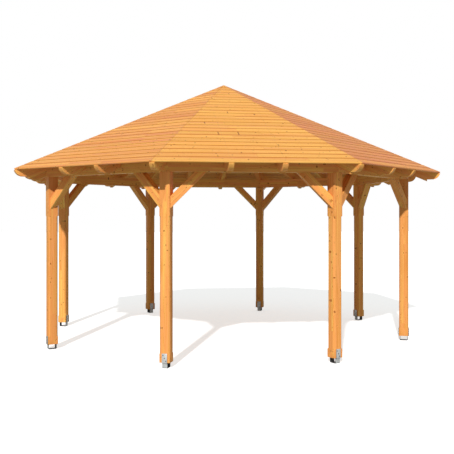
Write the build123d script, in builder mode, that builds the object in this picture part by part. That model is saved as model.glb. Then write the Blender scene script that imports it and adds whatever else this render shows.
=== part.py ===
from build123d import *
from math import atan, cos, degrees, radians, sin, tan
import os

# Octagonal garden gazebo in timber, in millimetres, +Z up, origin on the ground at its middle.
# Bays one to eight face outwards from -Y, anticlockwise; post and hip n stand between bays n and n+1.

# Plan
SIDES = 8
post_circle_radius = 2500
ground_level = 0

# Posts
post_width = 120
post_lift = 62
post_head_length = 487
post_base_length = 96
post_chamfer = 18
chamfer_run_out = 8
post_end_bevel = 2

# Steel strap feet
strap_width = 60
strap_thickness = 6
strap_leg = 103
strap_step = 14
strap_bend_radius = 4
strap_heel_radius = 9
anchor_hole_radius = 7

# Wall plates
plate_underside = 2156
plate_height = 135
plate_thickness = 96
plate_offset = 16

# Braces
brace_leg = 388
brace_depth = 96
brace_thickness = 92

# Rafters
rafter_width = 60
rafter_depth = 160
rafter_notch = 65
tail_radius = 106
tail_drop = 79
tail_length = 173
tail_reach = 8
jack_offset = 293
king_width = 170
king_drop = 40
king_bevel = 20

# Roof
roof_pitch = 25
eave_overhang = 367
roof_thickness = 20

# Worked out from the sizes above
turn = 360 / SIDES
half_turn = turn / 2
half_tan = tan(radians(half_turn))
half_cos = cos(radians(half_turn))
half_sin = sin(radians(half_turn))
pitch = radians(roof_pitch)
bay_angles = [-90 + turn * n for n in range(SIDES)]
post_angles = [angle + half_turn for angle in bay_angles]
plate_top = plate_underside + plate_height
plate_apothem = post_circle_radius * half_cos + plate_offset
plate_outer = plate_apothem + plate_thickness / 2
plate_inner = plate_apothem - plate_thickness / 2
eave_apothem = plate_outer + eave_overhang
rafter_rise = rafter_depth / cos(pitch)
roof_apex = plate_top - rafter_notch + rafter_rise + plate_outer * tan(pitch)
eave_height = roof_apex - eave_apothem * tan(pitch)
hip_slope = tan(pitch) * half_cos
hip_pitch = atan(hip_slope)
reach = 2 * eave_apothem


def outward(angle):
    """Unit vector that points away from the middle at this angle in plan."""
    return Vector(cos(radians(angle)), sin(radians(angle)), 0)


def sideways(angle):
    """Unit vector along the bay or across the post at this angle."""
    return Vector(-sin(radians(angle)), cos(radians(angle)), 0)


def plan_plane(angle, height):
    """Level plane with X pointing outwards."""
    return Plane(origin=(0, 0, height), x_dir=outward(angle), z_dir=(0, 0, 1))


def section_plane(angle, offset=0):
    """Upright plane through the middle, X outwards and Y up, moved sideways by the offset."""
    return Plane(origin=sideways(angle) * offset, x_dir=outward(angle), z_dir=-sideways(angle))


def bay_plane(angle, distance):
    """Upright plane across a bay, X along the bay and Y up."""
    return Plane(origin=outward(angle) * distance, x_dir=sideways(angle), z_dir=outward(angle))


def roof_plane(angle):
    """Plane of the roof's underside over a bay, with its normal up and outwards."""
    normal = outward(angle) * sin(pitch) + Vector(0, 0, cos(pitch))
    return Plane(origin=(0, 0, roof_apex), x_dir=sideways(angle), z_dir=normal)


def post_face_plane(angle, side):
    """Plane of the post's face that looks into the bay, with its normal into the post."""
    post_angle = angle + side * half_turn
    across = sideways(post_angle) * side
    origin = outward(post_angle) * post_circle_radius - across * (post_width / 2)
    return Plane(origin=origin, z_dir=across)


def hip_face_plane(angle, side):
    """Plane of the hip rafter's face that looks into the bay, with its normal into the hip."""
    hip_angle = angle + side * half_turn
    across = sideways(hip_angle) * side
    return Plane(origin=-across * (rafter_width / 2), z_dir=across)


def export_node(part, name):
    """Label a finished piece and write it to its own file."""
    part.label = name
    export_step(part, f"parts/{name}.step")


def make_post(angle):
    """Square post with stopped chamfers between its plain foot and its plain head."""
    middle = outward(angle) * post_circle_radius + Vector(0, 0, post_lift)
    corner = post_width / 2 * 2**0.5
    flat = corner - post_chamfer / 2**0.5
    low = post_lift + post_base_length
    high = plate_underside - post_head_length
    with BuildPart() as post:
        with BuildSketch(Plane(origin=middle, x_dir=outward(angle), z_dir=(0, 0, 1))):
            Rectangle(post_width, post_width)
        extrude(amount=plate_underside - post_lift)
        chamfer(post.faces().sort_by(Axis.Z)[0].edges(), length=post_end_bevel)
        for quarter in range(4):
            diagonal = outward(angle + 45 + 90 * quarter)
            across = sideways(angle + 45 + 90 * quarter)
            origin = outward(angle) * post_circle_radius
            with BuildSketch(Plane(origin=origin, x_dir=diagonal, z_dir=-across)):
                with BuildLine():
                    Polyline(
                        (flat, low + chamfer_run_out),
                        (flat, high - chamfer_run_out),
                        (corner, high),
                        (corner + post_chamfer, high),
                        (corner + post_chamfer, low),
                        (corner, low),
                        close=True,
                    )
                make_face()
            extrude(amount=post_chamfer, both=True, mode=Mode.SUBTRACT)
    return post.part


def make_post_foot(angle):
    """Bent steel strap that holds the post end off the ground, with its anchor hole."""
    leg = post_width / 2 + strap_thickness / 2
    heel = leg - strap_step
    seat = post_lift - strap_thickness / 2
    sole = strap_thickness / 2
    top = post_lift + strap_leg
    route = [(leg, top), (leg, seat), (heel, seat), (heel, sole)]
    route += [(-x, z) for x, z in reversed(route)]
    radii = [strap_bend_radius, strap_bend_radius, strap_heel_radius]
    middle = outward(angle) * post_circle_radius
    with BuildPart() as foot:
        with BuildLine(Plane(origin=middle, x_dir=outward(angle), z_dir=-sideways(angle))) as path:
            FilletPolyline(*route, radius=radii + radii[::-1])
        start = middle + outward(angle) * leg + Vector(0, 0, top)
        with BuildSketch(Plane(origin=start, x_dir=sideways(angle), z_dir=(0, 0, -1))):
            Rectangle(strap_width, strap_thickness)
        sweep(path=path.line)
        with BuildSketch(Plane(origin=middle, z_dir=(0, 0, 1))):
            Circle(anchor_hole_radius)
        extrude(amount=strap_thickness, mode=Mode.SUBTRACT)
    return foot.part


def make_wall_plate(angle):
    """Beam across one bay, mitred over the posts at both ends."""
    with BuildPart() as plate:
        with BuildSketch(plan_plane(angle, plate_underside)):
            with BuildLine():
                Polyline(
                    (plate_inner, -plate_inner * half_tan),
                    (plate_outer, -plate_outer * half_tan),
                    (plate_outer, plate_outer * half_tan),
                    (plate_inner, plate_inner * half_tan),
                    close=True,
                )
            make_face()
        extrude(amount=plate_height)
    return plate.part


def make_brace(angle, side):
    """Brace at 45 degrees from a post's face up to the plate, cut to fit both."""
    face = (plate_apothem * half_sin - post_width / 2) / half_cos
    overrun = post_width
    upright = brace_depth * 2**0.5
    low = plate_underside - brace_leg
    with BuildPart() as brace:
        with BuildSketch(bay_plane(angle, plate_apothem)):
            with BuildLine():
                Polyline(
                    (side * (face + overrun), low - overrun),
                    (side * (face - brace_leg), plate_underside),
                    (side * (face - brace_leg + upright), plate_underside),
                    (side * (face + overrun), low - overrun + upright),
                    close=True,
                )
            make_face()
        extrude(amount=brace_thickness / 2, both=True)
        split(bisect_by=post_face_plane(angle, side), keep=Keep.BOTTOM)
    return brace.part


def rafter_profile(start, tip, slope):
    """Side view of a rafter under a slope, from its upper end to its rounded and stepped tail."""
    drop = Vector(0, rafter_depth * (1 + slope**2) ** 0.5)
    down = Vector(1, -slope).normalized()
    square = Vector(down.Y, -down.X)
    head = Vector(start, roof_apex - start * slope)
    middle = Vector(tip - tail_radius, eave_height - tail_drop + tail_radius)
    depth = (middle - head).dot(square)
    toe = middle - square * depth + down * (tail_radius**2 - depth**2) ** 0.5
    nose_end = middle - Vector(0, tail_radius)
    heel = Vector(tip - tail_length, nose_end.Y)
    step = Vector(heel.X, roof_apex - heel.X * slope) - drop
    with BuildSketch() as profile:
        with BuildLine():
            Line(head, toe)
            RadiusArc(toe, nose_end, tail_radius)
            Polyline(nose_end, heel, step, head - drop, head)
        make_face()
    return profile.sketch


def make_seat_block():
    """Solid out to the plates' outer faces, which notches the rafters where they sit."""
    with BuildPart() as seat:
        with BuildSketch(Plane.XY.offset(plate_underside)):
            RegularPolygon(radius=plate_outer, side_count=SIDES, major_radius=False, rotation=half_turn)
        extrude(amount=plate_height)
    return seat.part


def make_jack_rafter(angle, side):
    """Short rafter from the eave to the side of the nearest hip rafter."""
    profile = rafter_profile(jack_offset / 2 / half_tan, eave_apothem + tail_reach, tan(pitch))
    with BuildPart() as jack:
        with BuildSketch(section_plane(angle, side * jack_offset)):
            add(profile)
        extrude(amount=rafter_width / 2, both=True)
        split(bisect_by=hip_face_plane(angle, side), keep=Keep.BOTTOM)
        add(seat_block, mode=Mode.SUBTRACT)
    return jack.part


def make_hip_rafter(angle):
    """Rafter from a corner of the eave to the king block, its top bevelled to both slopes."""
    profile = rafter_profile(king_width / 2, eave_apothem / half_cos + tail_reach, hip_slope)
    with BuildPart() as hip:
        with BuildSketch(section_plane(angle)):
            add(profile)
        extrude(amount=rafter_width / 2, both=True)
        split(bisect_by=roof_plane(angle - half_turn), keep=Keep.BOTTOM)
        split(bisect_by=roof_plane(angle + half_turn), keep=Keep.BOTTOM)
        add(seat_block, mode=Mode.SUBTRACT)
    return hip.part


def make_king_block():
    """Eight-sided block under the apex that takes the upper ends of the hip rafters."""
    hip_drop = rafter_depth / cos(hip_pitch)
    bottom = roof_apex - king_width / 2 * hip_slope - hip_drop - king_drop
    with BuildPart() as king:
        with BuildSketch(plan_plane(post_angles[0], bottom)):
            RegularPolygon(radius=king_width / 2, side_count=SIDES, major_radius=False, rotation=half_turn)
        extrude(amount=roof_apex - bottom)
        chamfer(king.faces().sort_by(Axis.Z)[0].edges(), length=king_bevel)
        for angle in bay_angles:
            split(bisect_by=roof_plane(angle), keep=Keep.BOTTOM)
    return king.part


def make_roof_panel(angle):
    """One of the eight slopes, mitred along both hips and square at the eave."""
    with BuildPart() as panel:
        with BuildSketch(section_plane(angle)):
            with BuildLine():
                Polyline(
                    (0, roof_apex),
                    (eave_apothem, eave_height),
                    (eave_apothem + roof_thickness * sin(pitch), eave_height + roof_thickness * cos(pitch)),
                    (0, roof_apex + roof_thickness / cos(pitch)),
                    close=True,
                )
            make_face()
        extrude(amount=reach, both=True)
        with BuildSketch(plan_plane(angle, ground_level)):
            with BuildLine():
                Polyline((0, 0), (reach, -reach * half_tan), (reach, reach * half_tan), close=True)
            make_face()
        extrude(amount=reach, mode=Mode.INTERSECT)
    return panel.part


os.makedirs("parts", exist_ok=True)
seat_block = make_seat_block()

for number, angle in enumerate(post_angles, 1):
    export_node(make_post(angle), f"post_{number}")
    export_node(make_hip_rafter(angle), f"hip_rafter_{number}")

for number, angle in enumerate(bay_angles, 1):
    export_node(make_wall_plate(angle), f"wall_plate_{number}")
    export_node(make_roof_panel(angle), f"roof_panel_{number}")
    pair = [make_brace(angle, side) for side in (-1, 1)]
    with BuildPart() as braces:
        add(pair)
    export_node(braces.part, f"braces_{number}")

feet = [make_post_foot(angle) for angle in post_angles]
with BuildPart() as post_feet:
    add(feet)
export_node(post_feet.part, "post_feet")

jacks = [make_jack_rafter(angle, side) for angle in bay_angles for side in (-1, 1)]
with BuildPart() as jack_rafters:
    add(jacks)
export_node(jack_rafters.part, "jack_rafters")

export_node(make_king_block(), "king_block")
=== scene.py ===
import logging
import math
import random
from dataclasses import dataclass, field
from enum import Enum

import bmesh
import bpy
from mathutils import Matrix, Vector


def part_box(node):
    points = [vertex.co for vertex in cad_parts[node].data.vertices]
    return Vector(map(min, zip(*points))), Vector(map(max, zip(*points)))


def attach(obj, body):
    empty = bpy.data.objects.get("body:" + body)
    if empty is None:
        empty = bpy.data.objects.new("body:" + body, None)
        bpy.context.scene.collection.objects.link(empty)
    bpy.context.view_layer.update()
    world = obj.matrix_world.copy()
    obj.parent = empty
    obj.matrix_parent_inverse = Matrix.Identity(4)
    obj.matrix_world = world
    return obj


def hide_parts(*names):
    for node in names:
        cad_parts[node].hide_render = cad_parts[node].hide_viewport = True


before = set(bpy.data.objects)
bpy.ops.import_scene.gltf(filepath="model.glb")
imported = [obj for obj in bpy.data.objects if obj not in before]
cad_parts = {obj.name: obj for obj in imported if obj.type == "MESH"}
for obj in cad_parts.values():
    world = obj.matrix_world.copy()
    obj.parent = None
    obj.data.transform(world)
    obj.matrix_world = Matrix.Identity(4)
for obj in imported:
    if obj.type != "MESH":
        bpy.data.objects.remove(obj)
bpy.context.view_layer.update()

log = logging.getLogger("garden_gazebo")

Pair = tuple[float, float]
Triple = tuple[float, float, float]
Colour = tuple[float, float, float, float]
Socket = bpy.types.NodeSocket

SIDES = 8
TURN = math.tau / SIDES
PLACE = "timber_place"
TONE = "timber_tone"
END_GRAIN = "end_grain"
ARRIS = "worn_arris"
# Mask layer of darkening: pooled stain and painted shade in the roof grooves, dark cut edges and painted
# shade on the straps
DARK_AND_SHADE_LAYER = "dark_and_painted_shade"
GRAIN_STARTS = (3, 60)
FIGURE_SEEDS = (1, 900)
FLAT_ANGLE = math.radians(0.6)


class Slot(Enum):
    """Names of the material slots of the record; nothing in this script takes a finish from them."""

    FRAME_TIMBER = "frame_timber"
    ROOF_BOARDS = "roof_boards"
    FOOT_STEEL = "foot_steel"


def bay_angle(number: int) -> float:
    """Direction that a bay faces.

    Args:
        number: The bay's number, from 1.

    Returns:
        The angle from +X in radians.
    """
    return -math.pi / 2 + TURN * (number - 1)


def post_angle(number: int) -> float:
    """Direction of a post or hip from the middle, from +X in radians."""
    return bay_angle(number) + TURN / 2


def outward(angle: float) -> Vector:
    """Unit vector that points away from the middle at this angle."""
    return Vector((math.cos(angle), math.sin(angle), 0))


def sideways(angle: float) -> Vector:
    """Unit vector along the bay, or across the post, at this angle."""
    return Vector((-math.sin(angle), math.cos(angle), 0))


def outline_bmesh(node: str, weld: float, flat_angle: float = FLAT_ANGLE) -> bmesh.types.BMesh:
    """Copy a node's mesh, with its triangles joined into flat faces.

    Args:
        node: The CAD node's name.
        weld: The distance at which points count as one.
        flat_angle: The angle between faces up to which they count as one.

    Returns:
        The copy.
    """
    bm = bmesh.new()
    bm.from_mesh(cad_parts[node].data)
    bmesh.ops.remove_doubles(bm, verts=bm.verts, dist=weld)
    bmesh.ops.dissolve_limit(bm, angle_limit=flat_angle, verts=bm.verts, edges=bm.edges)
    return bm


def close_mesh(bm: bmesh.types.BMesh, name: str, sharp_angle: float | None = None) -> bpy.types.Mesh:
    """Turn a finished bmesh into a mesh.

    Args:
        bm: The bmesh, which is freed.
        name: The mesh's name.
        sharp_angle: The angle from which edges stay sharp in a smooth mesh, or None for flat faces.

    Returns:
        The mesh.
    """
    mesh = bpy.data.meshes.new(name)
    bm.to_mesh(mesh)
    bm.free()
    if sharp_angle is not None:
        mesh.polygons.foreach_set("use_smooth", [True] * len(mesh.polygons))
        mesh.set_sharp_from_angle(angle=sharp_angle)
    return mesh


class NodeSketch:
    """Adds nodes to one tree and joins them, so that a finish reads as a few lines."""

    def __init__(self, tree: bpy.types.NodeTree) -> None:
        """Keep the tree.

        Args:
            tree: The node tree of a material, a world or a group.
        """
        self.tree = tree

    def put(self, socket: Socket, value: object) -> None:
        """Link a socket to an input, or set the input's own value.

        Args:
            socket: The input.
            value: An output socket, a number, a vector or a colour.
        """
        if isinstance(value, Socket):
            self.tree.links.new(value, socket)
        elif value is not None:
            socket.default_value = value

    def add(self, kind: str, inputs: dict | None = None, **settings: object) -> bpy.types.Node:
        """Add a node.

        Args:
            kind: The node's type, without its ShaderNode prefix.
            inputs: Input names or numbers with their values or sockets.
            settings: Properties of the node.

        Returns:
            The new node.
        """
        node = self.tree.nodes.new("ShaderNode" + kind)
        for name, value in settings.items():
            setattr(node, name, value)
        for name, value in (inputs or {}).items():
            self.put(node.inputs[name], value)
        return node

    def math(self, operation: str, *values: object) -> Socket:
        """Work out a number from up to three others, with a Math node."""
        return self.add("Math", dict(enumerate(values)), operation=operation).outputs[0]

    def ramp(self, value: object, low: float, high: float, start: float = 0, end: float = 1) -> Socket:
        """Carry a value from one range to another along a smooth curve.

        Args:
            value: The number or socket to carry.
            low: The value that gives start.
            high: The value that gives end.
            start: The result at low and below.
            end: The result at high and above.

        Returns:
            The result.
        """
        inputs = {"Value": value, "From Min": low, "From Max": high, "To Min": start, "To Max": end}
        return self.add("MapRange", inputs, interpolation_type="SMOOTHSTEP").outputs[0]

    def mix(self, share: object, first: object, second: object, blend: str = "MIX") -> Socket:
        """Mix two colours.

        Args:
            share: How much of the second colour shows, from 0 to 1.
            first: The colour below.
            second: The colour on top.
            blend: The Mix node's way of blending.

        Returns:
            The mixed colour.
        """
        node = self.add("Mix", data_type="RGBA", blend_type=blend)
        for number, value in ((0, share), (6, first), (7, second)):
            self.put(node.inputs[number], value)
        return node.outputs[2]

    def cover(self, below: object, on_top: object, mask: object, share: float) -> Socket:
        """Lay one colour over another where a mask is 1, at this share of full cover."""
        return self.mix(self.math("MULTIPLY", mask, share), below, on_top)

    def attribute(self, name: str, output: str = "Fac") -> Socket:
        """Read a layer of the mesh."""
        return self.add("Attribute", attribute_name=name).outputs[output]

    def relief(self, height: object, strength: float, depth: float) -> Socket:
        """Bend the normals to a height."""
        return self.add("Bump", {"Height": height, "Strength": strength, "Distance": depth}).outputs[0]

    def noise(
        self, vector: object, scale: float, detail: float = 2, roughness: float = 0.5
    ) -> bpy.types.Node:
        """Add a Noise Texture that reads this vector."""
        inputs = {"Vector": vector, "Scale": scale, "Detail": detail, "Roughness": roughness}
        return self.add("TexNoise", inputs)

    def stretch(self, vector: object, scale: Triple) -> Socket:
        """Scale a vector along its three axes."""
        return self.add("VectorMath", {0: vector, 1: scale}, operation="MULTIPLY").outputs[0]

    def centred(self, colour: object) -> Socket:
        """Move a colour's range from 0 to 1 onto -0.5 to 0.5."""
        return self.add("VectorMath", {0: colour, 1: (0.5, 0.5, 0.5)}, operation="SUBTRACT").outputs[0]

    def reach(self, first: object, second: object) -> Socket:
        """Distance that two offsets at right angles make."""
        square = self.math("MULTIPLY", second, second)
        return self.math("SQRT", self.math("MULTIPLY_ADD", first, first, square))

    def chance(self, first: object, second: object, third: object = None) -> bpy.types.Node:
        """Draw a steady random value and colour for each set of whole numbers."""
        cell = self.add("CombineXYZ", {0: first, 1: second, 2: third}).outputs[0]
        return self.add("TexWhiteNoise", {"Vector": cell})

    def backdrop_rays(self) -> Socket:
        """Pick the rays that show the white background: camera, glossy and transmission rays."""
        rays = self.add("LightPath").outputs
        shown = self.math("MAXIMUM", rays["Is Camera Ray"], rays["Is Glossy Ray"])
        return self.math("MAXIMUM", shown, rays["Is Transmission Ray"])

    def group(self, tree: bpy.types.NodeTree, inputs: dict) -> bpy.types.Node:
        """Place a node group with its own values."""
        node = self.tree.nodes.new("ShaderNodeGroup")
        node.node_tree = tree
        for name, value in inputs.items():
            self.put(node.inputs[name], value)
        return node


def new_material(name: str, colour: Colour) -> tuple[bpy.types.Material, NodeSketch, object]:
    """Start a material.

    Args:
        name: The material's name.
        colour: Its colour in the plain view.

    Returns:
        The material, its sketch and the inputs of its shader.
    """
    material = bpy.data.materials.new(name)
    material.use_nodes = True
    material.diffuse_color = colour
    shader = material.node_tree.nodes["Principled BSDF"]
    return material, NodeSketch(material.node_tree), shader.inputs


def new_group(
    name: str, inputs: dict[str, str], outputs: dict[str, str]
) -> tuple[bpy.types.NodeTree, NodeSketch, bpy.types.Node, bpy.types.Node]:
    """Start a shader node group with named sockets.

    Args:
        name: The group's name.
        inputs: Input names with their socket kinds, such as Float or Vector.
        outputs: Output names with their socket kinds.

    Returns:
        The group's tree, its sketch, its input node and its output node.
    """
    tree = bpy.data.node_groups.new(name, "ShaderNodeTree")
    for socket, kind in inputs.items():
        tree.interface.new_socket(socket, in_out="INPUT", socket_type="NodeSocket" + kind)
    for socket, kind in outputs.items():
        tree.interface.new_socket(socket, in_out="OUTPUT", socket_type="NodeSocket" + kind)
    entry = tree.nodes.new("NodeGroupInput")
    leave = tree.nodes.new("NodeGroupOutput")
    return tree, NodeSketch(tree), entry, leave


@dataclass(frozen=True)
class SoftwoodFigure:
    """Growth rings, knots, fibres and drying cracks of sawn softwood, for one shared shader group.

    Scales are per metre, with X along the grain.
    """

    stray_along: float = 40.0
    drift_scale: Triple = (0.9, 5, 5)
    drift_reach: Triple = (0, 0.028, 0.028)
    nearest_pith: float = 0.03
    knot_stretch: float = 0.8
    ragged_scale: float = 140
    ragged_reach: float = 0.003
    knot_sizes: Pair = (0.9, 0.45)
    knot_edge: Pair = (0.8, 1.0)
    rim_at: float = 0.95
    rim_width: float = 0.3
    halo_span: Pair = (0.9, 3.2)
    halo_bulge: float = 0.011
    latewood: float = 2.2
    stripe_scale: Triple = (0.3, 26, 26)
    streak_scale: Triple = (0.8, 17, 17)
    fibre_scale: Triple = (9, 260, 260)
    split_scale: Triple = (1.3, 90, 90)
    split_width: Pair = (0.002, 0.009)
    patch_scale: Triple = (2.2, 9, 9)
    patch_span: Pair = (0.6, 0.68)

    def move_pith(self, sketch: NodeSketch, given: object) -> tuple[Socket, Socket]:
        """Give each lamella, between two finger joints, a pith of its own.

        Args:
            sketch: The group's sketch.
            given: The group's inputs.

        Returns:
            The place as seen from that pith and the lamella's own random value.
        """
        spot = sketch.add("SeparateXYZ", {0: given["Place"]}).outputs
        seed = sketch.add("SeparateXYZ", {0: given["Tone"]}).outputs[2]
        layer = sketch.math("ROUND", sketch.math("DIVIDE", spot[2], given["Lamella"]))
        offset = sketch.chance(layer, seed).outputs["Value"]
        span = sketch.math("DIVIDE", spot[0], given["Joint Spacing"])
        length = sketch.math("FLOOR", sketch.math("ADD", span, offset))
        draw = sketch.chance(layer, seed, length).outputs
        sides = given["Pith Reach"]
        spread = sketch.add("CombineXYZ", {0: self.stray_along, 1: sides, 2: sides}).outputs[0]
        steps = {0: sketch.centred(draw["Color"]), 1: spread, 2: given["Place"]}
        moved = sketch.add("VectorMath", steps, operation="MULTIPLY_ADD").outputs[0]
        return moved, draw["Value"]

    def grow_knots(
        self, sketch: NodeSketch, given: object, moved: object, around: tuple[Socket, Socket, Socket]
    ) -> dict[str, Socket]:
        """Grow branches out of the pith in whorls.

        Args:
            sketch: The group's sketch.
            given: The group's inputs.
            moved: The place as seen from the pith.
            around: The place along the grain, the direction around the pith and the distance from it.

        Returns:
            Masks of the knots, their rims and the halos around them.
        """
        along, angle, radius = around
        whorl = given["Whorl Spacing"]
        per_radian = sketch.math("DIVIDE", given["Knots Per Turn"], math.tau)
        spot = {0: sketch.math("DIVIDE", along, whorl), 1: sketch.math("MULTIPLY", angle, per_radian)}
        cell = sketch.add("CombineXYZ", spot).outputs[0]
        whorls = {"Vector": cell, "Scale": 1.0}
        branches = sketch.add("TexVoronoi", whorls, voronoi_dimensions="2D").outputs
        chance = sketch.add("SeparateColor", {0: branches["Color"]}).outputs
        middle = sketch.add("SeparateXYZ", {0: branches["Position"]}).outputs
        off_along = sketch.math("SUBTRACT", along, sketch.math("MULTIPLY", middle[0], whorl))
        off_turn = sketch.math("SUBTRACT", angle, sketch.math("DIVIDE", middle[1], per_radian))
        off_across = sketch.math("MULTIPLY", off_turn, sketch.math("MAXIMUM", radius, self.nearest_pith))
        apart = sketch.reach(sketch.math("MULTIPLY", off_along, self.knot_stretch), off_across)
        ragged = sketch.noise(moved, self.ragged_scale, detail=1).outputs[0]
        apart = sketch.math("MULTIPLY_ADD", ragged, self.ragged_reach, apart)
        present = sketch.math("LESS_THAN", chance[1], given["Knot Share"])
        size = sketch.math("MULTIPLY_ADD", chance[0], *self.knot_sizes)
        ratio = sketch.math("DIVIDE", apart, sketch.math("MULTIPLY", size, given["Knot Radius"]))
        off_rim = sketch.math("ABSOLUTE", sketch.math("SUBTRACT", ratio, self.rim_at))
        masks = {
            "Knot": sketch.ramp(ratio, *self.knot_edge, start=1, end=0),
            "Knot Rim": sketch.ramp(off_rim, 0, self.rim_width, start=1, end=0),
            "Halo": sketch.ramp(ratio, *self.halo_span, start=1, end=0),
        }
        return {name: sketch.math("MULTIPLY", mask, present) for name, mask in masks.items()}

    def build(self) -> bpy.types.NodeTree:
        """Make the group.

        Returns:
            A group that reads a place in metres, with the stick's middle at 0, and its tone.
        """
        sizes = ["Lamella", "Joint Spacing", "Pith Reach", "Whorl Spacing"]
        sizes += ["Knots Per Turn", "Knot Radius", "Knot Share", "Ring Width"]
        masks = ["Rings", "Knot", "Knot Rim", "Halo", "Stripes", "Streaks", "Fibres", "Cracks"]
        inputs = {"Place": "Vector", "Tone": "Vector", **dict.fromkeys(sizes, "Float")}
        outputs = dict.fromkeys([*masks, "Lamella Tone"], "Float")
        tree, sketch, entry, leave = new_group("softwood figure", inputs, outputs)
        given = entry.outputs
        moved, lamella_tone = self.move_pith(sketch, given)
        drift = sketch.noise(sketch.stretch(moved, self.drift_scale), 1, detail=1).outputs["Color"]
        shift = sketch.stretch(sketch.centred(drift), self.drift_reach)
        bent = sketch.add("VectorMath", {0: moved, 1: shift}, operation="ADD").outputs[0]
        along, across, through = sketch.add("SeparateXYZ", {0: bent}).outputs
        radius = sketch.reach(across, through)
        angle = sketch.math("ARCTAN2", through, across)
        results = self.grow_knots(sketch, given, moved, (along, angle, radius))

        bulge = sketch.math("MULTIPLY", results["Halo"], self.halo_bulge)
        ring_at = sketch.math("DIVIDE", sketch.math("ADD", radius, bulge), given["Ring Width"])
        wave = sketch.math("SINE", sketch.math("MULTIPLY", ring_at, math.tau))
        wave = sketch.math("MULTIPLY_ADD", wave, 0.5, 0.5)
        results["Rings"] = sketch.math("POWER", wave, self.latewood)
        grains = {
            "Stripes": (moved, self.stripe_scale, {"detail": 1, "roughness": 0.4}),
            "Streaks": (bent, self.streak_scale, {"detail": 3, "roughness": 0.6}),
            "Fibres": (bent, self.fibre_scale, {"detail": 2, "roughness": 0.6}),
        }
        for name, (place, scale, settings) in grains.items():
            results[name] = sketch.noise(sketch.stretch(place, scale), 1, **settings).outputs[0]
        results["Lamella Tone"] = lamella_tone

        split = sketch.noise(sketch.stretch(moved, self.split_scale), 1).outputs[0]
        patch = sketch.noise(sketch.stretch(moved, self.patch_scale), 1, detail=1).outputs[0]
        from_middle = sketch.math("ABSOLUTE", sketch.math("SUBTRACT", split, 0.5))
        thin = sketch.ramp(from_middle, *self.split_width, start=1, end=0)
        results["Cracks"] = sketch.math("MULTIPLY", thin, sketch.ramp(patch, *self.patch_span))
        for name, value in results.items():
            sketch.put(leave.inputs[name], value)
        return tree


@dataclass(frozen=True)
class WornArris:
    """Patchy wear along the eased edges, for one shared shader group."""

    patch_span: Pair = (0.3, 0.65)
    least_wear: float = 0.25

    def build(self) -> bpy.types.NodeTree:
        """Make the group.

        Returns:
            A group that breaks the mask of the eased edges up into patches.
        """
        inputs = {"Edge": "Float", "Place": "Vector", "Patch": "Float"}
        tree, sketch, entry, leave = new_group("worn arris", inputs, {"Mask": "Float"})
        given = entry.outputs
        patches = sketch.noise(given["Place"], given["Patch"], detail=3)
        share = sketch.ramp(patches.outputs[0], *self.patch_span, start=self.least_wear)
        sketch.put(leave.inputs["Mask"], sketch.math("MULTIPLY", given["Edge"], share))
        return tree


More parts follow.
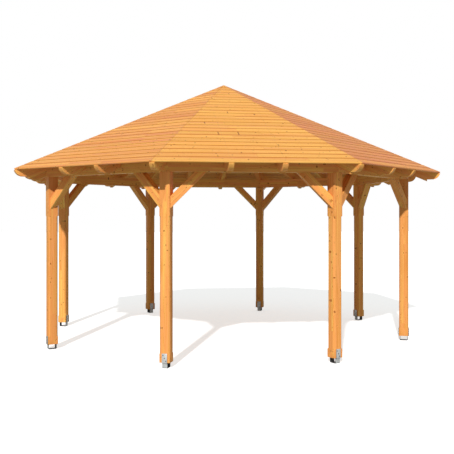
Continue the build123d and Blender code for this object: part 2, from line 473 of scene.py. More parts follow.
@dataclass(frozen=True)
class StainedSoftwood:
    """Sawn softwood under a honey stain, with its knots and rings."""

    name: str
    pale: Colour
    deep: Colour
    red: Colour
    knot: Colour
    crack: Colour
    # Dark colour of the grooves: pooled stain and painted groove shade
    groove_stain_shade: Colour
    figure_sizes: dict[str, float]
    roughness: float
    variety: float
    lamella_contrast: float
    red_span: Pair
    end: Colour = (0.62, 0.29, 0.075, 1)
    gloss: float = 0.08
    tone_pull: float = 0.22
    stick_middle: float = 0.3
    lamella_shade: float = 0.5
    grain_span: Pair = (0.34, 0.78)
    ring_share: float = 0.3
    streak_share: float = 0.6
    fibre_share: float = 0.22
    end_cover: float = 0.45
    wear_cover: float = 0.45
    wear_patch: float = 14.0
    halo_cover: float = 0.22
    stain_shade_cover: float = 0.95
    knot_cover: float = 0.9
    rim_cover: float = 0.8
    crack_cover: float = 0.7
    streak_roughness: float = 0.16
    knot_roughness: float = -0.14
    relief: tuple[tuple[str, float], ...] = (("Rings", 0.35), ("Knot", 0.8), ("Cracks", -1.5))
    fibre_relief: float = 0.5
    relief_strength: float = 0.35
    relief_depth: float = 0.0012

    def base_colour(self, sketch: NodeSketch, wood: object, tone: object) -> Socket:
        """Mix the wood's own colour, without knots, wear, or the pooled stain and painted shade of the
        grooves.

        Args:
            sketch: The material's sketch.
            wood: The figure group's outputs.
            tone: The stick's redness, lightness and seed.

        Returns:
            The colour.
        """
        hue = sketch.math("MULTIPLY_ADD", tone[0], self.tone_pull, wood["Stripes"])
        hue = sketch.math("MULTIPLY_ADD", wood["Lamella Tone"], self.lamella_contrast, hue)
        colour = sketch.mix(sketch.ramp(hue, *self.red_span), self.pale, self.red)
        streaks = sketch.math("MULTIPLY", wood["Streaks"], self.streak_share)
        grain = sketch.math("MULTIPLY_ADD", wood["Rings"], self.ring_share, streaks)
        grain = sketch.math("MULTIPLY_ADD", wood["Fibres"], self.fibre_share, grain)
        colour = sketch.mix(sketch.ramp(grain, *self.grain_span), colour, self.deep)
        middle = 1 - self.variety * self.stick_middle
        darkening = -self.variety * self.lamella_shade
        shade = sketch.math("MULTIPLY_ADD", wood["Lamella Tone"], darkening, middle)
        shade = sketch.math("MULTIPLY_ADD", tone[1], self.variety, shade)
        grey = sketch.add("CombineColor", {0: shade, 1: shade, 2: shade}).outputs[0]
        return sketch.mix(1.0, colour, grey, "MULTIPLY")

    def build(self, figure: bpy.types.NodeTree, arris: bpy.types.NodeTree) -> bpy.types.Material:
        """Make the material.

        Args:
            figure: The group of rings and knots.
            arris: The group that wears edges.

        Returns:
            The material.
        """
        material, sketch, shader = new_material(self.name, self.pale)
        place, tone = sketch.attribute(PLACE, "Vector"), sketch.attribute(TONE, "Vector")
        end_grain, edge, dark_and_shade = (sketch.attribute(name) for name in (END_GRAIN, ARRIS, DARK_AND_SHADE_LAYER))
        wood = sketch.group(figure, {"Place": place, "Tone": tone, **self.figure_sizes}).outputs
        wear = sketch.group(arris, {"Edge": edge, "Place": place, "Patch": self.wear_patch}).outputs[0]
        colour = self.base_colour(sketch, wood, sketch.add("SeparateXYZ", {0: tone}).outputs)
        colour = sketch.cover(colour, self.end, end_grain, self.end_cover)
        halo = sketch.math("MULTIPLY", wood["Halo"], self.halo_cover)
        wear = sketch.math("MAXIMUM", sketch.math("MULTIPLY", wear, self.wear_cover), halo)
        colour = sketch.mix(wear, colour, self.pale)
        covers = (
            # The grooves get pooled stain and painted shade, which stands in for their shadow lines
            (dark_and_shade, self.stain_shade_cover, self.groove_stain_shade),
            (wood["Knot"], self.knot_cover, self.knot),
            (wood["Knot Rim"], self.rim_cover, self.crack),
            (wood["Cracks"], self.crack_cover, self.crack),
        )
        for mask, share, on_top in covers:
            colour = sketch.cover(colour, on_top, mask, share)
        rough = sketch.math("MULTIPLY_ADD", wood["Streaks"], self.streak_roughness, self.roughness)
        rough = sketch.math("MULTIPLY_ADD", wood["Knot"], self.knot_roughness, rough)
        height = sketch.math("MULTIPLY", wood["Fibres"], self.fibre_relief)
        for name, rise in self.relief:
            height = sketch.math("MULTIPLY_ADD", wood[name], rise, height)
        sketch.put(shader["Base Color"], colour)
        sketch.put(shader["Roughness"], rough)
        sketch.put(shader["Specular IOR Level"], self.gloss)
        sketch.put(shader["Normal"], sketch.relief(height, self.relief_strength, self.relief_depth))
        return material


@dataclass(frozen=True)
class ZincedSteel:
    """Zinc-coated steel with faint spangle."""

    name: str
    colour: Colour
    dark: Colour
    roughness: float
    spangle: float
    metal: float = 0.55
    # Near black for the straps' dark cut edges and for painted shade on their inner faces and sole tops
    cut_edge_and_shade_black: Colour = (0.012, 0.012, 0.012, 1)
    cut_edge_and_shade_cover: float = 0.94
    cloud_scale: float = 22
    cloud_share: float = 0.6
    flake_share: float = 0.3
    flake_roughness: float = 0.12
    wear_patch: float = 60.0
    wear_cover: float = 0.5
    relief_strength: float = 0.15
    relief_depth: float = 0.0005

    def build(self, arris: bpy.types.NodeTree) -> bpy.types.Material:
        """Make the material.

        Args:
            arris: The group that wears edges.

        Returns:
            The material.
        """
        material, sketch, shader = new_material(self.name, self.colour)
        place = sketch.add("TexCoord").outputs["Object"]
        edge, dark_and_shade = sketch.attribute(ARRIS), sketch.attribute(DARK_AND_SHADE_LAYER)
        flakes = sketch.add("TexVoronoi", {"Vector": place, "Scale": self.spangle})
        flake = sketch.add("SeparateColor", {0: flakes.outputs["Color"]}).outputs[0]
        cloud = sketch.noise(place, self.cloud_scale, detail=4, roughness=0.6).outputs[0]
        clouds = sketch.math("MULTIPLY", cloud, self.cloud_share)
        share = sketch.math("MULTIPLY_ADD", flake, self.flake_share, clouds)
        wear = sketch.group(arris, {"Edge": edge, "Place": place, "Patch": self.wear_patch}).outputs[0]
        colour = sketch.mix(share, self.colour, self.dark)
        colour = sketch.cover(colour, self.colour, wear, self.wear_cover)
        # Dark cut edges and painted shade on the inner faces and sole tops
        colour = sketch.cover(colour, self.cut_edge_and_shade_black, dark_and_shade, self.cut_edge_and_shade_cover)
        rough = sketch.math("MULTIPLY_ADD", flake, self.flake_roughness, self.roughness)
        sketch.put(shader["Base Color"], colour)
        sketch.put(shader["Metallic"], self.metal)
        sketch.put(shader["Roughness"], rough)
        sketch.put(shader["Normal"], sketch.relief(share, self.relief_strength, self.relief_depth))
        return material


@dataclass
class Finishes:
    """Every material of the gazebo, built once."""

    frame_timber: bpy.types.Material = field(init=False)
    roof_boards: bpy.types.Material = field(init=False)
    foot_steel: bpy.types.Material = field(init=False)
    screw_steel: bpy.types.Material = field(init=False)

    def __post_init__(self) -> None:
        """Build the shared groups, then the materials."""
        figure, arris = SoftwoodFigure().build(), WornArris().build()
        self.frame_timber = StainedSoftwood(
            name="honey_stained_frame",
            pale=(0.94, 0.53, 0.128, 1),
            deep=(0.76, 0.285, 0.054, 1),
            red=(0.92, 0.365, 0.115, 1),
            knot=(0.36, 0.075, 0.008, 1),
            crack=(0.12, 0.025, 0.004, 1),
            groove_stain_shade=(0.40, 0.10, 0.012, 1),
            figure_sizes={
                "Lamella": 0.04,
                "Joint Spacing": 1.3,
                "Pith Reach": 0.16,
                "Whorl Spacing": 0.19,
                "Knots Per Turn": 5,
                "Knot Radius": 0.0095,
                "Knot Share": 0.6,
                "Ring Width": 0.007,
            },
            roughness=0.45,
            variety=0.13,
            lamella_contrast=0.22,
            red_span=(0.52, 0.74),
        ).build(figure, arris)
        self.roof_boards = StainedSoftwood(
            name="honey_stained_boards",
            pale=(0.95, 0.53, 0.13, 1),
            deep=(0.80, 0.34, 0.07, 1),
            red=(0.70, 0.22, 0.115, 1),
            knot=(0.36, 0.08, 0.01, 1),
            crack=(0.14, 0.03, 0.004, 1),
            groove_stain_shade=(0.43, 0.12, 0.008, 1),
            figure_sizes={
                "Lamella": 10,
                "Joint Spacing": 500,
                "Pith Reach": 0.12,
                "Whorl Spacing": 0.24,
                "Knots Per Turn": 8,
                "Knot Radius": 0.0065,
                "Knot Share": 0.75,
                "Ring Width": 0.006,
            },
            roughness=0.5,
            variety=0.09,
            lamella_contrast=0.02,
            red_span=(0.46, 1.0),
        ).build(figure, arris)
        self.foot_steel = ZincedSteel(
            name="zinced_strap",
            colour=(0.58, 0.58, 0.56, 1),
            dark=(0.36, 0.37, 0.37, 1),
            roughness=0.42,
            spangle=90,
            metal=0.35,
        ).build(arris)
        self.screw_steel = ZincedSteel(
            name="dull_zinc_screw",
            colour=(0.22, 0.21, 0.19, 1),
            dark=(0.10, 0.10, 0.09, 1),
            roughness=0.45,
            spangle=400,
        ).build(arris)


def finish_piece(
    name: str, mesh: bpy.types.Mesh, material: bpy.types.Material, node: str | None = None
) -> bpy.types.Object:
    """Put a mesh into the scene as a piece of the gazebo.

    Args:
        name: The piece's name.
        mesh: Its mesh, in the shared frame.
        material: Its finish.
        node: The CAD node that the piece stands for, if it stands for one.

    Returns:
        The new piece.
    """
    mesh.materials.clear()
    mesh.materials.append(material)
    piece = bpy.data.objects.new(name, mesh)
    bpy.context.scene.collection.objects.link(piece)
    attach(piece, "root")
    if node:
        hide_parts(node)
    log.info("%s: %d faces", name, len(mesh.polygons))
    return piece


class TimberPlace:
    """Carries each stick's own place and tone on its points, so that the grain follows it."""

    def __init__(self, bm: bmesh.types.BMesh) -> None:
        """Add the layers to a mesh.

        Args:
            bm: The mesh that the sticks are in.
        """
        self.place = bm.verts.layers.float_vector.new(PLACE)
        self.tone = bm.verts.layers.float_vector.new(TONE)

    def lay(
        self,
        points: list[bmesh.types.BMVert],
        axes: tuple[Vector, Vector, Vector],
        middle: Vector,
        draw: random.Random,
        warmth: float,
        spread: float,
    ) -> None:
        """Set the place and tone of one stick.

        Args:
            points: The stick's vertices.
            axes: Unit vectors along, across and through the stick.
            middle: The stick's middle.
            draw: Where the tone and the stretch of grain are drawn from.
            warmth: The middle of the red tone, where 0 is pale.
            spread: How far the red tone strays from it.
        """
        start = draw.uniform(*GRAIN_STARTS)
        tone = Vector((max(0, draw.gauss(warmth, spread)), draw.random(), draw.uniform(*FIGURE_SEEDS)))
        for point in points:
            away = point.co - middle
            point[self.place] = Vector((away.dot(axes[0]) + start, away.dot(axes[1]), away.dot(axes[2])))
            point[self.tone] = tone


def loose_parts(bm: bmesh.types.BMesh) -> list[list[bmesh.types.BMVert]]:
    """Group a mesh's vertices by the solid that they belong to.

    Args:
        bm: The mesh.

    Returns:
        One list of vertices for each solid.
    """
    left = set(bm.verts)
    parts = []
    for first in bm.verts:
        if first not in left:
            continue
        part, reach = [], [first]
        left.discard(first)
        while reach:
            point = reach.pop()
            part.append(point)
            for edge in point.link_edges:
                other = edge.other_vert(point)
                if other in left:
                    left.discard(other)
                    reach.append(other)
        parts.append(part)
    return parts


def ease_edges(bm: bmesh.types.BMesh, sharp_angle: float, width: float, steps: int) -> None:
    """Round the sharp edges of a mesh and mark them as arrises that wear.

    Args:
        bm: The mesh to work on.
        sharp_angle: The least angle between faces that makes an edge sharp.
        width: How far the rounding reaches from the edge.
        steps: The number of faces across it.
    """
    arris = bm.faces.layers.float.new(ARRIS)
    sharp = [edge for edge in bm.edges if edge.is_manifold and edge.calc_face_angle() > sharp_angle]
    rounded = bmesh.ops.bevel(
        bm, geom=sharp, offset=width, segments=steps, profile=0.5, affect="EDGES", clamp_overlap=True
    )
    for face in rounded["faces"]:
        face[arris] = 1.0


@dataclass
class FrameTimbers:
    """Posts, plates, braces, rafters and king block, with eased edges and grain along each stick."""

    finishes: Finishes
    weld: float = 1e-5
    sharp_angle: float = math.radians(24)
    ease: float = 0.0045
    ease_steps: int = 2
    end_share: float = 0.8
    upright_share: float = 0.1
    post_warmth: float = 0.5
    beam_warmth: float = 0.2
    tone_spread: float = 0.2

    def grain_axes(
        self, points: list[bmesh.types.BMVert], middle: Vector
    ) -> tuple[Vector, Vector, Vector]:
        """Find a stick's direction from its longest edge.

        Args:
            points: The stick's vertices.
            middle: The stick's middle.

        Returns:
            Unit vectors along, across and through the stick.
        """
        edges = [edge for point in points for edge in point.link_edges]
        longest = max(edges, key=lambda edge: edge.calc_length())
        along = (longest.verts[1].co - longest.verts[0].co).normalized()
        if along.z < 0:
            along.negate()
        across = along.cross(Vector((0, 0, 1)))
        if across.length < self.upright_share:
            across = Vector((middle.x, middle.y, 0))
        across.normalize()
        return along, across, across.cross(along)

    def dress(self, node: str) -> bpy.types.Object:
        """Make the finished timber that stands for a node.

        Args:
            node: The node's name.

        Returns:
            The new piece.
        """
        draw = random.Random(node)
        bm = outline_bmesh(node, self.weld)
        layers = TimberPlace(bm)
        end_grain = bm.faces.layers.float.new(END_GRAIN)
        for points in loose_parts(bm):
            middle = sum((point.co for point in points), Vector()) / len(points)
            axes = self.grain_axes(points, middle)
            warmth = self.post_warmth if node.startswith("post") else self.beam_warmth
            layers.lay(points, axes, middle, draw, warmth, self.tone_spread)
            for face in {face for point in points for face in point.link_faces}:
                face[end_grain] = 1.0 if abs(face.normal.dot(axes[0])) > self.end_share else 0.0
        ease_edges(bm, self.sharp_angle, self.ease, self.ease_steps)
        name = f"{node}_timber"
        mesh = close_mesh(bm, name, self.sharp_angle)
        return finish_piece(name, mesh, self.finishes.frame_timber, node)

    def build(self) -> None:
        """Dress every timber node."""
        for number in range(1, SIDES + 1):
            for kind in ("post", "wall_plate", "braces", "hip_rafter"):
                self.dress(f"{kind}_{number}")
        self.dress("jack_rafters")
        self.dress("king_block")


@dataclass
class RoofBoards:
    """Tongued and grooved boards over the eight slopes, mitred along the hips."""

    finishes: Finishes
    pitch: float = math.radians(25)
    thickness: float = 0.02
    courses: int = 25
    gap: float = 0.002
    hip_gap: float = 0.003
    groove_bevel: float = 0.008
    under_bevel: float = 0.005
    # Share of the groove darkening, pooled stain and painted shade, on the underside grooves
    under_stain_shade: float = 0.4
    tongue_length: float = 0.007
    tongue_half: float = 0.0025
    slot_depth: float = 0.008
    slot_half: float = 0.003
    butt_gap: float = 0.0008
    shortest: float = 0.45
    long_half: float = 0.9
    second_share: float = 0.45
    joint_share: float = 0.8
    lift: float = 0.0004
    weld: float = 1e-6
    warmth: tuple[float, ...] = (0.35, 1.7, 0.6, 0.25, 0.15, 0.25, 0.6, 1.0)
    tone_spread: float = 0.1
    eave: float = field(init=False)
    underside: float = field(init=False)

    def __post_init__(self) -> None:
        """Take the slope's reach and height from the frame."""
        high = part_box("roof_panel_3")[1]
        self.eave = high.x - self.thickness * math.sin(self.pitch)
        self.underside = high.z - self.thickness / math.cos(self.pitch)

    @property
    def slope_length(self) -> float:
        """Length of a slope's underside from the apex to the eave."""
        return self.eave / math.cos(self.pitch)

    def groove_stain_shade_depth(self, first: Pair, second: Pair) -> float:
        """Depth of the pooled stain and painted groove shade on a side of a board's section between two
        points, from 0 to 1.
        """
        at_eave = min(first[0], second[0]) > self.slope_length - 2 * self.groove_bevel
        if first[1] == second[1] or at_eave:
            return 0.0
        return 1.0 if max(first[1], second[1]) > self.thickness / 2 else self.under_stain_shade

    def section(self, top: float, bottom: float, first: bool, last: bool) -> list[Pair]:
        """Outline of one board across its width.

        Args:
            top: Where the board starts, from the apex down the slope.
            bottom: Where it ends.
            first: True for the board at the apex.
            last: True for the board at the eave.

        Returns:
            Points down the slope and up from its underside, in order.
        """
        thick, bevel, under = self.thickness, self.groove_bevel, self.under_bevel
        core = thick / 2
        if last:
            inner = bottom - under
            lower = [(inner, thick), (bottom, thick - under), (bottom, under), (inner, 0)]
        else:
            lower = [
                (bottom - bevel, thick),
                (bottom, thick - bevel),
                (bottom, core + self.slot_half),
                (bottom - self.slot_depth, core + self.slot_half),
                (bottom - self.slot_depth, core - self.slot_half),
                (bottom, core - self.slot_half),
                (bottom, under),
                (bottom - under, 0),
            ]
        if first:
            return lower + [(0, 0), (-thick * math.tan(self.pitch), thick)]
        upper = [
            (top + under, 0),
            (top, under),
            (top, core - self.tongue_half),
            (top - self.tongue_length, core - self.tongue_half),
            (top - self.tongue_length, core + self.tongue_half),
            (top, core + self.tongue_half),
            (top, thick - bevel),
            (top + bevel, thick),
        ]
        return lower + upper

    def place_on_slope(self, angle: float, down: float, up: float, along: float) -> Vector:
        """Point on a slope.

        Args:
            angle: The direction that the slope faces.
            down: Distance from the apex down the slope.
            up: Height above the slope's underside, square to it.
            along: Distance sideways from the slope's middle.

        Returns:
            The point in the shared frame.
        """
        out = down * math.cos(self.pitch) + up * math.sin(self.pitch)
        height = self.underside - down * math.sin(self.pitch) + up * math.cos(self.pitch)
        return outward(angle) * out + sideways(angle) * along + Vector((0, 0, height))

    def butt_joints(self, half: float, draw: random.Random) -> list[float]:
        """Choose where a course is joined end to end.

        Args:
            half: Half the course's length at its lower edge.
            draw: Where the choice is drawn from.

        Returns:
            The places of the joints, from the course's middle.
        """
        room = half - self.shortest
        if room <= 0:
            return []
        joints = [draw.uniform(-room, room)]
        if half > self.long_half and draw.random() < self.second_share:
            second = draw.uniform(-room, room)
            if abs(second - joints[0]) > self.shortest:
                joints.append(second)
        return sorted(joints) if draw.random() < self.joint_share else []

    def add_board(
        self,
        bm: bmesh.types.BMesh,
        angle: float,
        outline: list[Pair],
        ends: tuple[float | None, float | None],
        lift: float,
    ) -> tuple[list[bmesh.types.BMVert], list[bmesh.types.BMFace]]:
        """Add one board.

        Args:
            bm: The mesh to add to.
            angle: The direction that the slope faces.
            outline: The board's section.
            ends: The board's left and right end, or None where it is mitred along a hip.
            lift: How far the board stands off its neighbours.

        Returns:
            The board's vertices and its two end faces.
        """
        rings = []
        for side, end in zip((-1, 1), ends):
            ring = []
            for down, up in outline:
                out = down * math.cos(self.pitch) + up * math.sin(self.pitch)
                hip = max(0.0, out * math.tan(TURN / 2) - self.hip_gap / 2)
                along = side * hip if end is None else end
                ring.append(bm.verts.new(self.place_on_slope(angle, down, up + lift, along)))
            rings.append(ring)
        left, right = rings
        dark_and_shade = bm.faces.layers.float[DARK_AND_SHADE_LAYER]
        for i in range(len(outline)):
            j = (i + 1) % len(outline)
            side_face = bm.faces.new((left[i], left[j], right[j], right[i]))
            # Groove faces get pooled stain and painted shade; the eave edge stays clear
            side_face[dark_and_shade] = self.groove_stain_shade_depth(outline[i], outline[j])
        caps = [bm.faces.new(left[::-1]), bm.faces.new(right)]
        return left + right, caps

    def build_slope(self, number: int) -> bpy.types.Object:
        """Lay the boards of one slope.

        Args:
            number: The slope's number.

        Returns:
            The new piece.
        """
        node = f"roof_panel_{number}"
        draw = random.Random(node)
        angle = bay_angle(number)
        bm = bmesh.new()
        layers = TimberPlace(bm)
        end_grain = bm.faces.layers.float.new(END_GRAIN)
        bm.faces.layers.float.new(DARK_AND_SHADE_LAYER)
        cover = self.slope_length / self.courses
        along = sideways(angle)
        apex = self.place_on_slope(angle, 0, 0, 0)
        down_slope = (self.place_on_slope(angle, 1, 0, 0) - apex).normalized()
        axes = (along, down_slope, along.cross(down_slope))
        for course in range(self.courses):
            top, bottom = course * cover, (course + 1) * cover - self.gap
            first, last = course == 0, course == self.courses - 1
            outline = self.section(top, bottom, first, last)
            half = bottom * math.cos(self.pitch) * math.tan(TURN / 2)
            stops = self.butt_joints(half, draw)
            lefts = [None] + [stop + self.butt_gap / 2 for stop in stops]
            rights = [stop - self.butt_gap / 2 for stop in stops] + [None]
            for ends in zip(lefts, rights):
                lift = 0.0 if first else draw.uniform(-self.lift, 0)
                points, caps = self.add_board(bm, angle, outline, ends, lift)
                middle = self.place_on_slope(angle, (top + bottom) / 2, self.thickness / 2, 0)
                layers.lay(points, axes, middle, draw, self.warmth[number - 1], self.tone_spread)
                for cap in caps:
                    cap[end_grain] = 1.0
        bmesh.ops.remove_doubles(bm, verts=bm.verts, dist=self.weld)
        bmesh.ops.dissolve_degenerate(bm, edges=bm.edges, dist=self.weld)
        bmesh.ops.recalc_face_normals(bm, faces=bm.faces)
        mesh = close_mesh(bm, f"{node}_boards")
        finish = self.finishes.roof_boards
        return finish_piece(f"roof_boards_{number}", mesh, finish, node)

    def build(self) -> None:
        """Lay all the slopes."""
        for number in range(1, SIDES + 1):
            self.build_slope(number)


@dataclass(frozen=True)
class FixingHead:
    """The domed head of a screw or nail."""

    radius: float
    height: float
    recess: float = 0.0
    steps: int = 16
    dome: tuple[Pair, ...] = ((1, 0), (1, 0.35), (0.8, 0.85), (0.45, 1))
    recess_slope: float = 0.7
    recess_taper: float = 0.9
    recess_floor: float = 0.3

    def add(self, bm: bmesh.types.BMesh, middle: Vector, out: Vector) -> None:
        """Add one head.

        Args:
            bm: The mesh to add to.
            middle: The middle of the head's underside.
            out: Unit vector out of the surface that it sits on.
        """
        turn = out.to_track_quat("Z", "Y")
        profile = list(self.dome)
        if self.recess:
            profile.append((self.recess, 1 - self.recess_slope * self.recess))
            profile.append((self.recess * self.recess_taper, self.recess_floor))
        rings = []
        for share, rise in profile:
            ring = []
            for i in range(self.steps):
                spot = outward(math.tau * i / self.steps) * share * self.radius
                ring.append(bm.verts.new(middle + turn @ (spot + Vector((0, 0, rise * self.height)))))
            rings.append(ring)
        for low, high in zip(rings, rings[1:]):
            for i in range(self.steps):
                j = (i + 1) % self.steps
                bm.faces.new((low[i], low[j], high[j], high[i]))
        bm.faces.new(rings[0][::-1])
        bm.faces.new(rings[-1])


@dataclass
class StrapFeet:
    """Steel strap feet, eased, each leg with three screws on the slant."""

    finishes: Finishes
    head: FixingHead = FixingHead(radius=0.007, height=0.0032, recess=0.4)
    ring_radius: float = 2.5
    leg_face: float = 0.066
    leg_middle: float = 0.1135
    screw_rise: float = 0.031
    screw_step: float = 0.016
    cut_share: float = 0.7
    inward_share: float = 0.3
    weld: float = 1e-6
    ease: float = 0.0008
    ease_steps: int = 2
    flat_angle: float = math.radians(0.5)
    sharp_angle: float = math.radians(35)

    def is_cut_or_shaded(self, face: bmesh.types.BMFace) -> bool:
        """Tell whether a strap's face is a cut edge, which is dark, or lies inside its bend or on the
        sole's top, where shade is painted.

        Args:
            face: A face of any strap.

        Returns:
            True for a cut edge or a face with painted shade.
        """
        middle = face.calc_center_median()
        turns = round((math.atan2(middle.y, middle.x) - post_angle(1)) / TURN)
        out = outward(post_angle(1 + turns))
        outside = (middle - out * self.ring_radius).dot(out) * face.normal.dot(out)
        inward = outside < -self.inward_share * self.leg_face
        cut = abs(face.normal.cross(out).z) > self.cut_share
        return cut or inward or (face.normal.z > self.cut_share and middle.z < self.leg_middle / 2)

    def build_straps(self) -> bpy.types.Object:
        """Make the eased straps that stand for the feet."""
        bm = outline_bmesh("post_feet", self.weld, self.flat_angle)
        dark_and_shade = bm.faces.layers.float.new(DARK_AND_SHADE_LAYER)
        ease_edges(bm, self.sharp_angle, self.ease, self.ease_steps)
        for face in bm.faces:
            # Dark cut edges, and painted shade on the inner faces and sole tops
            face[dark_and_shade] = float(self.is_cut_or_shaded(face))
        name = "post_feet_straps"
        mesh = close_mesh(bm, name, self.sharp_angle)
        return finish_piece(name, mesh, self.finishes.foot_steel, "post_feet")

    def build_screws(self) -> bpy.types.Object:
        """Make the three screws on each leg of each strap."""
        bm = bmesh.new()
        for number in range(1, SIDES + 1):
            angle = post_angle(number)
            for side in (1, -1):
                out = outward(angle) * side
                leg = outward(angle) * self.ring_radius + out * self.leg_face
                step = sideways(angle) * side * self.screw_step - Vector((0, 0, self.screw_rise))
                for i in (-1, 0, 1):
                    self.head.add(bm, leg + Vector((0, 0, self.leg_middle)) + step * i, out)
        mesh = close_mesh(bm, "foot_screws")
        return finish_piece("foot_screws", mesh, self.finishes.screw_steel)

    def build(self) -> None:
        """Make the straps and their screws."""
        self.build_straps()
        self.build_screws()


@dataclass
class TimberFixings:
    """Screws under the braces and nails along the rafters."""

    finishes: Finishes
    roof: RoofBoards
    screw: FixingHead = FixingHead(radius=0.0055, height=0.0012, recess=0.4, steps=14)
    nail: FixingHead = FixingHead(radius=0.0034, height=0.0009, steps=8)
    slant: float = -0.5
    from_end: float = 0.05
    from_side: float = 0.024
    hip_line: float = 0.03
    jack_line: float = 0.293
    nail_share: float = 0.28
    stray_down: float = 0.002
    stray_aside: float = 0.003
    weld: float = 1e-5

    def brace_faces(self, number: int) -> list[tuple[Vector, Vector, Vector, Vector]]:
        """Find the slanting undersides of a bay's two braces, as flat faces.

        Args:
            number: The bay's number.

        Returns:
            For each face its middle, the lengthwise and sideways vectors to its screws, and its normal.
        """
        bm = outline_bmesh(f"braces_{number}", self.weld)
        faces = []
        for part in loose_parts(bm):
            under = [face for point in part for face in point.link_faces if face.normal.z < self.slant]
            face = max(under, key=lambda candidate: candidate.calc_area())
            across = face.normal.cross(Vector((0, 0, 1))).normalized()
            along = face.normal.cross(across)
            middle = face.calc_center_median()
            reach = max(abs((point.co - middle).dot(along)) for point in face.verts)
            lengthwise = along * (reach - self.from_end)
            faces.append((middle.copy(), lengthwise, across * self.from_side, face.normal.copy()))
        bm.free()
        return faces

    def build_screws(self) -> bpy.types.Object:
        """Make two screws at each end of each brace."""
        bm = bmesh.new()
        for number in range(1, SIDES + 1):
            for middle, along, across, normal in self.brace_faces(number):
                for end in (-1, 1):
                    for side in (-1, 1):
                        self.screw.add(bm, middle + along * end + across * side, normal)
        mesh = close_mesh(bm, "brace_screws")
        return finish_piece("brace_screws", mesh, self.finishes.screw_steel)

    def nail_lines(self, down: float) -> list[float]:
        """Find the rafters that cross a slope at this distance from the apex.

        Args:
            down: Distance from the apex down the slope.

        Returns:
            Distances sideways from the slope's middle.
        """
        hip = down * math.cos(self.roof.pitch) * math.tan(TURN / 2) - self.hip_line
        lines = [hip] if hip > self.hip_line else []
        if hip > self.jack_line + 2 * self.hip_line:
            lines.append(self.jack_line)
        return [side * line for line in lines for side in (-1, 1)]

    def build_nails(self) -> bpy.types.Object:
        """Make two nails wherever a board crosses a rafter."""
        bm = bmesh.new()
        draw = random.Random("roof nails")
        cover = self.roof.slope_length / self.roof.courses
        top = self.roof.thickness - self.roof.lift
        for number in range(1, SIDES + 1):
            angle = bay_angle(number)
            square = self.roof.place_on_slope(angle, 0, 1, 0) - self.roof.place_on_slope(angle, 0, 0, 0)
            for course in range(self.roof.courses):
                for share in (self.nail_share, 1 - self.nail_share):
                    down = (course + share) * cover
                    for line in self.nail_lines(down):
                        lower = down + draw.gauss(0, self.stray_down)
                        aside = line + draw.gauss(0, self.stray_aside)
                        self.nail.add(bm, self.roof.place_on_slope(angle, lower, top, aside), square)
        mesh = close_mesh(bm, "roof_nails")
        return finish_piece("roof_nails", mesh, self.finishes.screw_steel)

    def build(self) -> None:
        """Make the screws and the nails."""
        self.build_screws()
        self.build_nails()


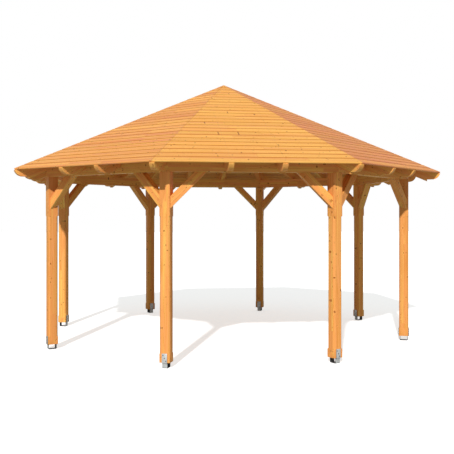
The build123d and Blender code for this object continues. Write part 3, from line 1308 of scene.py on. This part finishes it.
@dataclass(frozen=True)
class Studio:
    """Camera, floor and light."""

    eye_distance: float = 10.575
    eye_offset: float = 0.0467
    eye_height: float = 1.6865
    eye_turn: float = math.radians(-8.11)
    lens: float = 58.74
    frame_shift: float = -0.0278
    sun_turn: float = math.radians(-10.2)
    sun_height: float = math.radians(30.4)
    sun_power: float = 3.08
    sun_width: float = math.radians(1.5)
    sensor: float = 36
    floor_reach: float = 60
    floor_tone: Colour = (0.44, 0.52, 0.52, 1)
    shown_floor_tone: Colour = (0.86, 0.86, 0.86, 1)
    floor_glow: float = 0.6
    fill_tone: Colour = (0.96, 1.0, 0.98, 1)
    fill_strength: float = 0.34
    white: Colour = (1, 1, 1, 1)

    def back(self, turn: float, height: float = 0) -> Vector:
        """Unit vector from the middle towards a viewer or lamp at this turn and height."""
        level = math.cos(height)
        return Vector((math.sin(turn) * level, -math.cos(turn) * level, math.sin(height)))

    def place_camera(self) -> None:
        """Put the camera at the photograph's place, level, with the horizon moved in the frame."""
        camera = bpy.data.cameras.new("eye_level_camera")
        camera.lens = self.lens
        camera.sensor_width = self.sensor
        camera.shift_y = self.frame_shift
        eye = bpy.data.objects.new("eye_level_camera", camera)
        back = self.back(self.eye_turn)
        right = Vector((-back.y, back.x, 0))
        up = Vector((0, 0, self.eye_height))
        eye.location = back * self.eye_distance + right * self.eye_offset + up
        eye.rotation_euler = (-back).to_track_quat("-Z", "Y").to_euler()
        bpy.context.scene.collection.objects.link(eye)
        bpy.context.scene.camera = eye

    def place_sun(self) -> None:
        """Hang the soft main lamp over the viewer's left shoulder."""
        lamp = bpy.data.lights.new("soft_main_lamp", "SUN")
        lamp.energy = self.sun_power
        lamp.angle = self.sun_width
        sun = bpy.data.objects.new("soft_main_lamp", lamp)
        towards = self.back(self.eye_turn + self.sun_turn, self.sun_height)
        sun.rotation_euler = towards.to_track_quat("Z", "Y").to_euler()
        bpy.context.scene.collection.objects.link(sun)

    def lay_floor(self) -> None:
        """Lay the pale floor, which looks white and keeps the shadow."""
        reach = self.floor_reach
        mesh = bpy.data.meshes.new("pale_floor")
        corners = [(-reach, -reach, 0), (reach, -reach, 0), (reach, reach, 0), (-reach, reach, 0)]
        mesh.from_pydata(corners, [], [(0, 1, 2, 3)])
        floor = bpy.data.objects.new("pale_floor", mesh)
        bpy.context.scene.collection.objects.link(floor)
        material = bpy.data.materials.new("pale_floor")
        material.use_nodes = True
        sketch = NodeSketch(material.node_tree)
        colour = sketch.mix(sketch.backdrop_rays(), self.floor_tone, self.shown_floor_tone)
        shade = sketch.add("BsdfDiffuse", {"Color": colour})
        looked_at = sketch.add("LightPath").outputs["Is Camera Ray"]
        strength = sketch.math("MULTIPLY", looked_at, self.floor_glow)
        glow = sketch.add("Emission", {"Color": self.white, "Strength": strength})
        both = sketch.add("AddShader", {0: shade.outputs[0], 1: glow.outputs[0]})
        sketch.put(material.node_tree.nodes["Material Output"].inputs["Surface"], both.outputs[0])
        mesh.materials.append(material)

    def light_world(self) -> None:
        """Fill the shade with even light and keep the background white."""
        world = bpy.data.worlds.new("white_room")
        world.use_nodes = True
        bpy.context.scene.world = world
        sketch = NodeSketch(world.node_tree)
        seen = sketch.backdrop_rays()
        backdrop = world.node_tree.nodes["Background"].inputs
        strength = sketch.math("MULTIPLY_ADD", seen, 1 - self.fill_strength, self.fill_strength)
        sketch.put(backdrop["Color"], sketch.mix(seen, self.fill_tone, self.white))
        sketch.put(backdrop["Strength"], strength)

    def build(self) -> None:
        """Set up the whole studio."""
        bpy.context.scene.view_settings.view_transform = "Standard"
        self.place_camera()
        self.place_sun()
        self.lay_floor()
        self.light_world()


def main() -> None:
    """Build the gazebo and its studio."""
    logging.basicConfig(level=logging.INFO, format="%(name)s %(message)s")
    finishes = Finishes()
    FrameTimbers(finishes).build()
    roof = RoofBoards(finishes)
    roof.build()
    StrapFeet(finishes).build()
    TimberFixings(finishes, roof).build()
    Studio().build()


if __name__ == "__main__":
    main()
